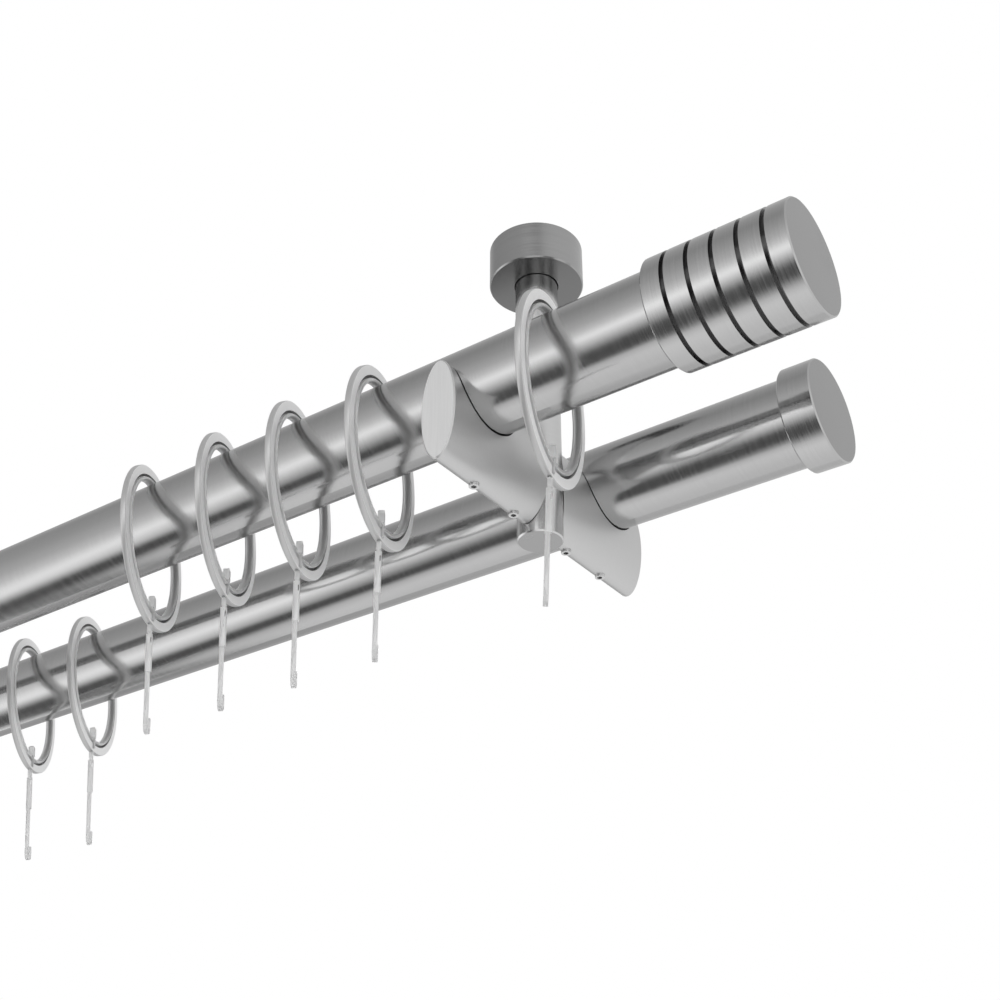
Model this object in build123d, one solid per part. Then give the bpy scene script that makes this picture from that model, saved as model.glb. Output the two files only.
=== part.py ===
from build123d import *
import math
import os

# Double curtain pole for a ceiling: two round tubes side by side under two ceiling brackets,
# grooved finials on the front tube, plain end caps on the back tube, and lined rings with hooks.
# Frame: +X along the poles to the right-hand end, +Y away from the room to the back pole, +Z up.
# The origin is where the axis of the right-hand bracket's stem meets the ceiling. All in mm.

os.makedirs("parts", exist_ok=True)

# Poles
POLE_DIAMETER = 28.0
POLE_WALL = 1.2
POLE_LENGTH = 1000.0
FRONT_OVERHANG = 65.0      # front pole, right bracket axis to pole end
BACK_OVERHANG = 72.0       # back pole, right bracket axis to pole end
POLE_OFFSET = 33.5         # stem axis to each pole's axis
POLE_RISE = 14.0           # pole axis above arm axis

# Bracket
STEM_DIAMETER = 14.0
STEM_TAIL = 19.5           # stem below the arm axis
ARM_DROP = 92.0            # ceiling to arm axis
ARM_HEIGHT = 33.0          # the arm is an upright oval bar
ARM_WIDTH = 12.0
ARM_NOSE = 3.1             # metal in front of the pole's slot
ROSE_DIAMETER = 31.0
ROSE_HEIGHT = 14.5
ROSE_WALL = 1.5
ROSE_FLOOR = 3.0
PLATE_THICKNESS = 4.0
SCREW_HOLE_DIAMETER = 4.4
SCREW_HEAD_DIAMETER = 8.0
BOSS_DIAMETER = 11.0
BOSS_LENGTH = 12.5
STUD_DIAMETER = 6.0
STUD_DEPTH = 12.0          # stud inside each arm
STUD_SCREW_OFFSET = 14.0   # stem axis to the screw that holds the stud
GRUB_DIAMETER = 3.0
GRUB_PROUD = 0.6           # how far a grub screw stands below the arm
GRUB_SOCKET = 1.5          # hexagon across flats, and the socket's depth
STEM_GRUB_LENGTH = 3.5
O_RING_SECTION = 1.1

# Finials and end caps
FINIAL_DIAMETER = 33.0
FINIAL_LENGTH = 42.0
FINIAL_GROOVES = 5
GROOVE_WIDTH = 1.3
GROOVE_DEPTH = 1.8
FINIAL_SPIGOT = 18.0
CAP_DIAMETER = 33.0
CAP_LENGTH = 10.5
CAP_SPIGOT = 14.0

# Rings
RING_OUTER_RADIUS = 28.5
RING_BAND = 3.1            # radial width of the metal
RING_THICKNESS = 4.0
RING_BEVEL = 0.6           # bright bevel on the ring's outer edges
RING_RIM = 0.9             # metal left outside the hook's slot
LINER_WALL = 2.2           # radial width of the liner
LINER_WIDTH = 5.0
LINER_LIP = 1.4            # radial width of the lip beside the ring
LINER_GROOVE = 0.8         # depth of the groove between the lip and the ring

# Hooks
HOOK_THICKNESS = 1.1
HOOK_SETBACK = 0.6         # hook's front face behind the ring's front face
HEAD_WIDTH = 2.5
HEAD_HEIGHT = 4.8          # how far the head stands up inside the ring
HEAD_CHAMFER = 0.5
NECK_WIDTH = 1.6
NECK_LENGTH = 9.0          # neck below the ring
STRIP_WIDTH = 2.0          # widest, at the neck
STRIP_TIP = 1.6            # narrowest, above the curl
EYE_WIDTH = 0.5            # small slot beside the neck
EYE_HEIGHT = 1.8
HOOK_DROP = 38.0           # ring's lowest point to the hook's lowest point
CURL_THICKNESS = 1.5
CURL_RADIUS = 2.2
CURL_LIP = 3.0

# Clearances
PUSH_GAP = 0.05            # parts that are pushed or screwed together
SEAT_GAP = 0.3             # loose seats and running gaps
SADDLE_GAP = 0.4           # pole in the arm's slot, a fine dark line
EDGE_BREAK = 0.4           # chamfer on crisp turned edges

# Ring stations: (distance from the right bracket along X, swivel, lean) for the rings near the
# right-hand end, and distance from the left bracket for those near the left-hand end. The rings
# hang loosely, so each is swivelled about the vertical and leans along the pole, in degrees.
FRONT_RINGS_RIGHT = (
    (26.7, 15.0, 2.6),
    (-34.9, 19.5, -0.8),
    (-68.0, 23.0, -2.6),
    (-99.7, 26.5, -3.9),
    (-134.7, 28.5, -5.5),
)
FRONT_RINGS_LEFT = ((112.0, 12.0, -3.0), (-27.2, -15.0, 2.0))
BACK_RINGS_RIGHT = ((-242.4, 30.5, -6.9), (-281.0, 33.0, -8.0))
BACK_RINGS_LEFT = ((206.0, -10.0, 3.0), (160.0, 14.0, -4.0))

# Worked out from the sizes above
POLE_RADIUS = POLE_DIAMETER / 2
POLE_BORE_RADIUS = POLE_RADIUS - POLE_WALL
STEM_RADIUS = STEM_DIAMETER / 2
ARM_Z = -ARM_DROP
POLE_Z = ARM_Z + POLE_RISE
SLOT_RADIUS = POLE_RADIUS + SADDLE_GAP
ARM_REACH = POLE_OFFSET + SLOT_RADIUS + ARM_NOSE
ARM_HALF_HEIGHT = ARM_HEIGHT / 2
LEFT_BRACKET_X = FRONT_OVERHANG + BACK_OVERHANG - POLE_LENGTH
RING_INNER_RADIUS = RING_OUTER_RADIUS - RING_BAND
LINER_INNER_RADIUS = RING_INNER_RADIUS - LINER_WALL
HOOK_FRONT = RING_THICKNESS / 2 - HOOK_SETBACK
HOOK_BACK = HOOK_FRONT - HOOK_THICKNESS


def turned(profile):
    """A solid turned about the X axis from points (x, radius)."""
    return revolve(Plane.XZ * make_face(Polyline(*profile, close=True)), axis=Axis.X)


def rod_x(radius, length, y, z):
    """A cylinder along X, centred on x = 0."""
    return Pos(0, y, z) * Rot(0, 90, 0) * Cylinder(radius, length)


def rod_y(radius, y_from, y_to, z):
    """A cylinder along Y between two places."""
    return Pos(0, (y_from + y_to) / 2, z) * Rot(90, 0, 0) * Cylinder(radius, abs(y_to - y_from))


def rod_z(radius, z_from, z_to, y=0.0):
    """A cylinder along Z between two heights."""
    return Pos(0, y, (z_from + z_to) / 2) * Cylinder(radius, abs(z_to - z_from))


def make_pole():
    """A plain tube along X from x = -POLE_LENGTH to x = 0."""
    tube = rod_x(POLE_RADIUS, POLE_LENGTH, 0, 0) - rod_x(POLE_BORE_RADIUS, POLE_LENGTH, 0, 0)
    return Pos(-POLE_LENGTH / 2, 0, 0) * tube


def make_finial():
    """A turned cylinder with square grooves, and a spigot that plugs the tube. It starts at x = 0."""
    radius = FINIAL_DIAMETER / 2
    bands = FINIAL_GROOVES + 1
    band = (FINIAL_LENGTH - FINIAL_GROOVES * GROOVE_WIDTH) / bands
    profile = [(0, POLE_BORE_RADIUS - PUSH_GAP), (0, radius - EDGE_BREAK), (EDGE_BREAK, radius)]
    for i in range(FINIAL_GROOVES):
        start = (i + 1) * band + i * GROOVE_WIDTH
        profile += [(start, radius), (start, radius - GROOVE_DEPTH)]
        profile += [(start + GROOVE_WIDTH, radius - GROOVE_DEPTH), (start + GROOVE_WIDTH, radius)]
    profile += [(FINIAL_LENGTH - EDGE_BREAK, radius), (FINIAL_LENGTH, radius - EDGE_BREAK)]
    profile += [(FINIAL_LENGTH, 0), (-FINIAL_SPIGOT, 0)]
    profile += [(-FINIAL_SPIGOT, POLE_BORE_RADIUS - PUSH_GAP)]
    return turned(profile)


def make_end_cap():
    """A short turned cap with a spigot that plugs the tube. It starts at x = 0."""
    radius = CAP_DIAMETER / 2
    return turned([
        (0, POLE_BORE_RADIUS - PUSH_GAP),
        (0, radius - EDGE_BREAK),
        (EDGE_BREAK, radius),
        (CAP_LENGTH - EDGE_BREAK, radius),
        (CAP_LENGTH, radius - EDGE_BREAK),
        (CAP_LENGTH, 0),
        (-CAP_SPIGOT, 0),
        (-CAP_SPIGOT, POLE_BORE_RADIUS - PUSH_GAP),
    ])


def make_ceiling_plate():
    """A disc against the ceiling with a countersunk screw hole, and a hollow boss for the stem."""
    disc = rod_z(ROSE_DIAMETER / 2 - ROSE_WALL - SEAT_GAP, -PLATE_THICKNESS, 0)
    boss = rod_z(BOSS_DIAMETER / 2, -PLATE_THICKNESS - BOSS_LENGTH, -PLATE_THICKNESS)
    head_radius = SCREW_HEAD_DIAMETER / 2
    hole_radius = SCREW_HOLE_DIAMETER / 2
    sink = head_radius - hole_radius
    access = rod_z(head_radius, -PLATE_THICKNESS - BOSS_LENGTH, -PLATE_THICKNESS)
    cone = Pos(0, 0, -PLATE_THICKNESS + sink / 2) * Cone(head_radius, hole_radius, sink)
    return disc + boss - access - cone - rod_z(hole_radius, -PLATE_THICKNESS, 0)


def make_stem():
    """A round bar from the plate to below the arms, socketed on the boss and cross-bored for the stud."""
    bottom = ARM_Z - STEM_TAIL
    bar = rod_z(STEM_RADIUS, bottom, -PLATE_THICKNESS)
    bar = chamfer(bar.faces().sort_by(Axis.Z)[0].edges(), EDGE_BREAK)
    socket = rod_z(BOSS_DIAMETER / 2 + PUSH_GAP, -PLATE_THICKNESS - BOSS_LENGTH - SEAT_GAP, -PLATE_THICKNESS)
    cross_bore = rod_y(STUD_DIAMETER / 2 + PUSH_GAP, -STEM_DIAMETER, STEM_DIAMETER, ARM_Z)
    grub_hole = rod_y(GRUB_DIAMETER / 2 + PUSH_GAP, -STEM_DIAMETER, 0, stem_grub_z())
    ring_groove = rod_z(STEM_DIAMETER, o_ring_z() - O_RING_SECTION / 2, o_ring_z() + O_RING_SECTION / 2)
    ring_groove -= rod_z(STEM_RADIUS - groove_depth(), -ARM_DROP, 0)
    return bar - socket - cross_bore - grub_hole - ring_groove


def groove_depth():
    """Depth of the groove for the rubber ring: it stands out by the rose's running gap."""
    return O_RING_SECTION - SEAT_GAP


def o_ring_z():
    """Height of the rubber ring: halfway through the rose's floor."""
    return -ROSE_HEIGHT + ROSE_FLOOR / 2


def stem_grub_z():
    """Height of the screw that locks the stem: between the plate and the rose's floor."""
    return -(PLATE_THICKNESS + ROSE_HEIGHT - ROSE_FLOOR) / 2


def make_o_ring():
    """The rubber ring in the stem's groove, which holds the rose up against the ceiling."""
    section = (O_RING_SECTION - PUSH_GAP) / 2
    middle = STEM_RADIUS - groove_depth() + O_RING_SECTION / 2
    return Pos(0, 0, o_ring_z()) * Torus(middle, section)


def make_stem_grub():
    """The screw through the stem's wall onto the boss."""
    start = BOSS_DIAMETER / 2 + PUSH_GAP
    return rod_y(GRUB_DIAMETER / 2, -start - STEM_GRUB_LENGTH, -start, stem_grub_z())


def make_rose():
    """A turned cup that slides up the stem and hides the plate."""
    radius = ROSE_DIAMETER / 2
    cup = rod_z(radius, -ROSE_HEIGHT, 0)
    cup = chamfer(cup.faces().sort_by(Axis.Z)[0].edges(), EDGE_BREAK)
    inside = rod_z(radius - ROSE_WALL, -ROSE_HEIGHT + ROSE_FLOOR, 0)
    return cup - inside - rod_z(STEM_RADIUS + SEAT_GAP, -ROSE_HEIGHT, 0)


def make_arm():
    """The front arm: an oval bar with a fish-mouth end on the stem and an open slot for the pole."""
    oval = Plane.XZ * Ellipse(ARM_WIDTH / 2, ARM_HALF_HEIGHT)
    bar = extrude(oval, ARM_REACH)
    bar = chamfer(bar.faces().sort_by(Axis.Y)[0].edges(), EDGE_BREAK)
    slot = rod_x(SLOT_RADIUS, 2 * ARM_WIDTH, -POLE_OFFSET, POLE_RISE)
    slot += Pos(0, -POLE_OFFSET, POLE_RISE + ARM_HALF_HEIGHT / 2) * Box(
        2 * ARM_WIDTH, 2 * SLOT_RADIUS, ARM_HALF_HEIGHT
    )
    fish_mouth = rod_z(STEM_RADIUS + SEAT_GAP, -ARM_HEIGHT, ARM_HEIGHT)
    stud_bore = rod_y(STUD_DIAMETER / 2 + PUSH_GAP, -STEM_RADIUS - STUD_DEPTH - SEAT_GAP, 0, 0)
    screw_radius = GRUB_DIAMETER / 2 + PUSH_GAP
    stud_screw = rod_z(screw_radius, -ARM_HEIGHT, 0, -STUD_SCREW_OFFSET)
    pole_screw = rod_z(screw_radius, -ARM_HEIGHT, POLE_RISE - POLE_RADIUS, -POLE_OFFSET)
    arm = bar - slot - fish_mouth - stud_bore - stud_screw - pole_screw
    return Pos(0, 0, ARM_Z) * arm


def make_grub(top_z, y):
    """A grub screw in the arm, from its tip at top_z to its socket just below the arm."""
    bottom = -ARM_HALF_HEIGHT - GRUB_PROUD
    screw = rod_z(GRUB_DIAMETER / 2, bottom, top_z, y)
    hexagon = Pos(0, y, bottom) * RegularPolygon(GRUB_SOCKET / 2, 6, major_radius=False)
    return Pos(0, 0, ARM_Z) * (screw - extrude(hexagon, GRUB_SOCKET))


def make_arm_grubs():
    """The four screws of one bracket: one on the stud and one under the pole, in each arm."""
    screws = []
    for side in (-1, 1):
        screws.append(make_grub(-STUD_DIAMETER / 2 - PUSH_GAP, side * STUD_SCREW_OFFSET))
        screws.append(make_grub(POLE_RISE - POLE_RADIUS - PUSH_GAP, side * POLE_OFFSET))
    return Compound(children=screws)


def make_stud():
    """The plain stud through the stem, which carries both arms."""
    half = STEM_RADIUS + STUD_DEPTH
    return rod_y(STUD_DIAMETER / 2, -half, half, ARM_Z)


def hook_slot():
    """The slot that the hook's neck passes through: open to the front, down to the ring's rim."""
    side = NECK_WIDTH / 2 + PUSH_GAP
    back = HOOK_BACK - PUSH_GAP
    rim = -RING_OUTER_RADIUS + RING_RIM
    opening = box_between((back, -side, rim), (LINER_WIDTH, side, -LINER_INNER_RADIUS / 2))
    hole = box_between((back, -side, -RING_OUTER_RADIUS - RING_RIM), (HOOK_FRONT + PUSH_GAP, side, rim))
    return opening + hole


def make_ring():
    """The metal ring about the X axis, bevelled outside, with the slot for its hook."""
    half = RING_THICKNESS / 2
    ring = turned([
        (-half, RING_INNER_RADIUS),
        (-half, RING_OUTER_RADIUS - RING_BEVEL),
        (-half + RING_BEVEL, RING_OUTER_RADIUS),
        (half - RING_BEVEL, RING_OUTER_RADIUS),
        (half, RING_OUTER_RADIUS - RING_BEVEL),
        (half, RING_INNER_RADIUS),
    ])
    return ring - hook_slot()


def make_liner():
    """The plastic liner in the ring, with a beaded lip and a fine groove beside the metal on each side."""
    half = LINER_WIDTH / 2
    seat = RING_INNER_RADIUS - PUSH_GAP
    lip = LINER_INNER_RADIUS + LINER_LIP
    bead = LINER_LIP / 3
    shoulder = RING_THICKNESS / 2 - LINER_GROOVE
    liner = turned([
        (-half + bead, LINER_INNER_RADIUS),
        (-half, LINER_INNER_RADIUS + bead),
        (-half, lip - bead),
        (-half + bead, lip),
        (-shoulder, lip),
        (-shoulder, seat),
        (shoulder, seat),
        (shoulder, lip),
        (half - bead, lip),
        (half, lip - bead),
        (half, LINER_INNER_RADIUS + bead),
        (half - bead, LINER_INNER_RADIUS),
    ])
    return liner - hook_slot()


def make_hook():
    """A plastic hook whose head rests inside the liner, with a neck through the ring and a curled end."""
    seat = -math.sqrt(LINER_INNER_RADIUS**2 - (HEAD_WIDTH / 2) ** 2) + PUSH_GAP
    head_top = -LINER_INNER_RADIUS + HEAD_HEIGHT
    neck_end = -RING_OUTER_RADIUS - NECK_LENGTH
    lowest = -RING_OUTER_RADIUS - HOOK_DROP
    curl_z = lowest + CURL_RADIUS + CURL_THICKNESS / 2
    head = HEAD_WIDTH / 2
    neck = NECK_WIDTH / 2
    wide = STRIP_WIDTH / 2
    tip = STRIP_TIP / 2

    # Outline from the front: head, neck, and the strip that tapers to the curl.
    outline = [
        (-head + HEAD_CHAMFER, head_top),
        (-head, head_top - HEAD_CHAMFER),
        (-head, seat),
        (-neck, seat),
        (-neck, neck_end + NECK_WIDTH),
        (-wide, neck_end),
        (-tip, curl_z),
        (tip, curl_z),
        (wide, neck_end),
        (neck, neck_end + NECK_WIDTH),
        (neck, seat),
        (head, seat),
        (head, head_top - HEAD_CHAMFER),
        (head - HEAD_CHAMFER, head_top),
    ]
    front = Plane.YZ.offset(HOOK_BACK)
    body = extrude(front * make_face(Polyline(*outline, close=True)), HOOK_THICKNESS)
    eye = box_between(
        (HOOK_BACK, neck - 2 * EYE_WIDTH, neck_end + NECK_WIDTH),
        (HOOK_FRONT, neck - EYE_WIDTH, neck_end + NECK_WIDTH + EYE_HEIGHT),
    )

    # A small curl that turns up at the lower end.
    centre = CURL_RADIUS + CURL_THICKNESS / 2 - tip
    outer = CURL_RADIUS + CURL_THICKNESS / 2
    inner = CURL_RADIUS - CURL_THICKNESS / 2
    curl = Circle(outer) - Circle(inner) - Pos(0, outer) * Rectangle(4 * outer, 2 * outer)
    curl = extrude(front * (Pos(centre, curl_z) * curl), HOOK_THICKNESS)
    lip = box_between(
        (HOOK_BACK, centre + inner, curl_z),
        (HOOK_FRONT, centre + outer, curl_z + CURL_LIP),
    )
    return body - eye + curl + lip


def ring_place(x, y, turn, lean):
    """Where a ring hangs: turned and leaning, with the edge of its liner resting on the pole."""
    tilt = Rot(0, 0, turn) * Rot(0, lean, 0)
    clear = POLE_RADIUS + SEAT_GAP
    height = 0.0
    for side in (-1, 1):
        for step in range(-60, 61, 2):
            angle = math.radians(step)
            edge = tilt * Pos(
                side * LINER_WIDTH / 2,
                LINER_INNER_RADIUS * math.sin(angle),
                LINER_INNER_RADIUS * math.cos(angle),
            )
            point = edge.position
            if abs(point.Y) < clear:
                height = max(height, math.sqrt(clear**2 - point.Y**2) - point.Z + LINER_INNER_RADIUS)
    return Pos(x, y, POLE_Z + height - LINER_INNER_RADIUS) * tilt


def box_between(low, high):
    """A box from its lowest corner to its highest."""
    size = [b - a for a, b in zip(low, high)]
    centre = [(a + b) / 2 for a, b in zip(low, high)]
    return Pos(*centre) * Box(*size)


def ring_stations():
    """Every ring as (name, place), numbered from the right-hand end."""
    front = list(FRONT_RINGS_RIGHT) + [(LEFT_BRACKET_X + x, *rest) for x, *rest in FRONT_RINGS_LEFT]
    back = list(BACK_RINGS_RIGHT) + [(LEFT_BRACKET_X + x, *rest) for x, *rest in BACK_RINGS_LEFT]
    stations = []
    for row, y, rings in (("front", -POLE_OFFSET, front), ("back", POLE_OFFSET, back)):
        for number, (x, turn, lean) in enumerate(rings, 1):
            stations.append((f"{row}_{number}", ring_place(x, y, turn, lean)))
    return stations


def save(name, shape):
    """Writes one node."""
    export_step(shape, f"parts/{name}.step")


def main():
    """Builds and writes every node at its place."""
    pole = make_pole()
    front_end = Pos(FRONT_OVERHANG, -POLE_OFFSET, POLE_Z)
    back_end = Pos(BACK_OVERHANG, POLE_OFFSET, POLE_Z)
    left = Pos(-POLE_LENGTH, 0, 0) * Rot(0, 0, 180)
    save("front_pole", front_end * pole)
    save("back_pole", back_end * pole)
    save("finial_right", front_end * make_finial())
    save("finial_left", front_end * left * make_finial())
    save("end_cap_right", back_end * make_end_cap())
    save("end_cap_left", back_end * left * make_end_cap())

    for side, x in (("right", 0.0), ("left", LEFT_BRACKET_X)):
        place = Pos(x, 0, 0)
        save(f"ceiling_plate_{side}", place * make_ceiling_plate())
        save(f"stem_{side}", place * make_stem())
        save(f"stem_grub_screw_{side}", place * make_stem_grub())
        save(f"rose_{side}", place * make_rose())
        save(f"rose_o_ring_{side}", place * make_o_ring())
        save(f"arm_front_{side}", place * make_arm())
        save(f"arm_back_{side}", place * Rot(0, 0, 180) * make_arm())
        save(f"arm_stud_{side}", place * make_stud())
        save(f"arm_grub_screws_{side}", place * make_arm_grubs())

    ring, liner, hook = make_ring(), make_liner(), make_hook()
    for name, place in ring_stations():
        save(f"ring_{name}", place * ring)
        save(f"ring_liner_{name}", place * liner)
        save(f"curtain_hook_{name}", place * hook)


main()
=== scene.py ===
"""Double curtain pole under a ceiling, dressed for a studio picture.

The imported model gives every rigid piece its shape. This script gives each one the finish of the real
thing, adds the small moulded and machined pieces that are too fine for the solids, and sets up the
floor, backdrop, lights and camera. Sizes are in metres, in the part's own frame: +X along the poles to
the right-hand end, +Y from the room to the back pole, +Z up.
"""

import logging
import math
from collections.abc import Callable
from dataclasses import dataclass, field
from enum import Enum

import bpy
from mathutils import Euler, Matrix, Vector

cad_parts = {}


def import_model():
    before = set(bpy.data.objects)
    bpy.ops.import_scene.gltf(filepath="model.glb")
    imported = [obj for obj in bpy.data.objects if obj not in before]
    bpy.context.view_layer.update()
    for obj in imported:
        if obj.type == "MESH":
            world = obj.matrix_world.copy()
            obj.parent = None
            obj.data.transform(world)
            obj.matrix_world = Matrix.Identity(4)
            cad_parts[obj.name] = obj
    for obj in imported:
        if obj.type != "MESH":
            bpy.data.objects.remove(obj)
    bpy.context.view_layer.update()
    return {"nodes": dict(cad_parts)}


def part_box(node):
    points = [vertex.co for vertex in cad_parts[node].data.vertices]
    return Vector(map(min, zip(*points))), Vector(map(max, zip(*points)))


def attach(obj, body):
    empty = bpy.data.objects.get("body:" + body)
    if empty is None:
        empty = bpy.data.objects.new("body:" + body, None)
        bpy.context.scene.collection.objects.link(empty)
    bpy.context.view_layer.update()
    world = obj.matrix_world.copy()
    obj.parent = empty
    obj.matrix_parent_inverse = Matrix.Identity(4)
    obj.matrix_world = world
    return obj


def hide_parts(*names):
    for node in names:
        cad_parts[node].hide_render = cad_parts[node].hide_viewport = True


LOG = logging.getLogger("curtain_pole")
MM = 0.001

# A scratch of the grinding belt is about this many times as long as it is wide, along the lay.
SCRATCH_LENGTH = 50.0
# The belt pressed a little harder here and there: how wide such a patch is, in mm, and how much
# rougher it is.
PATCH_MM = 25.0
PATCH_ROUGHNESS = 0.03
# Cosines of the angle between a face's normal and a direction: where the face begins to take its
# painted shade, and where it has all of it.
FACE_STARTS = 0.90
FACE_FULL = 0.99
# How far above its floor the painted shade in a turned groove reaches, in mm.
GROOVE_REACH = 1.2
# A flow line in moulded plastic is this many times as long as it is wide, and this share rougher.
FLOW_LENGTH = 8.0
FLOW_ROUGHNESS = 0.2
# Points closer than this are one point, in mm.
MERGE_MM = 0.005

Colour = tuple[float, float, float, float]


def linear(hex_code: str) -> Colour:
    """Turns an sRGB colour to linear.

    Args:
        hex_code: The colour as six hexadecimal digits.

    Returns:
        Linear red, green, blue and an alpha of 1.
    """
    channels = [int(hex_code[i : i + 2], 16) / 255 for i in (0, 2, 4)]
    red, green, blue = (
        c / 12.92 if c <= 0.04045 else ((c + 0.055) / 1.055) ** 2.4 for c in channels
    )
    return (red, green, blue, 1.0)


def add_node(
    tree: bpy.types.NodeTree,
    kind: str,
    settings: dict | None = None,
    inputs: dict | None = None,
) -> bpy.types.Node:
    """Adds one node with its settings and links.

    Args:
        tree: The node tree to add to.
        kind: The node's Blender type name.
        settings: Attribute names with their values.
        inputs: Input names or numbers with a value, or with the output socket to link from.

    Returns:
        The new node.
    """
    node = tree.nodes.new(kind)
    for name, value in (settings or {}).items():
        setattr(node, name, value)
    for name, value in (inputs or {}).items():
        if isinstance(value, bpy.types.NodeSocket):
            tree.links.new(value, node.inputs[name])
        else:
            node.inputs[name].default_value = value
    return node


def new_material(name: str) -> tuple[bpy.types.Material, bpy.types.NodeTree, bpy.types.Node]:
    """Makes an empty node material.

    Args:
        name: The material's name.

    Returns:
        The material, its node tree and its output node.
    """
    material = bpy.data.materials.new(name)
    material.use_nodes = True
    tree = material.node_tree
    tree.nodes.clear()
    output = add_node(tree, "ShaderNodeOutputMaterial")
    return material, tree, output


class Lay(Enum):
    """Which way the abrasive belt ran over a piece of steel."""

    ROUND_X = "round the pole, so the scratches are circles about X"
    ROUND_Z = "round the stem, so the scratches are circles about Z"
    ACROSS_Z = "across an upright flank, so the scratches stand up along Z"
    FINE = "too short and crossed to have a direction"


@dataclass(frozen=True)
class FaceShade:
    """A painted light or shade on the faces that point one way, for how light falls on them."""

    direction: tuple[float, float, float]
    shade: str


@dataclass(frozen=True)
class Hollow:
    """Turned grooves about an axis along X, with painted shade on their floors."""

    axis_y: float
    axis_z: float
    floor_radius: float
    middle_x: float
    reach_x: float
    shade: str


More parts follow.
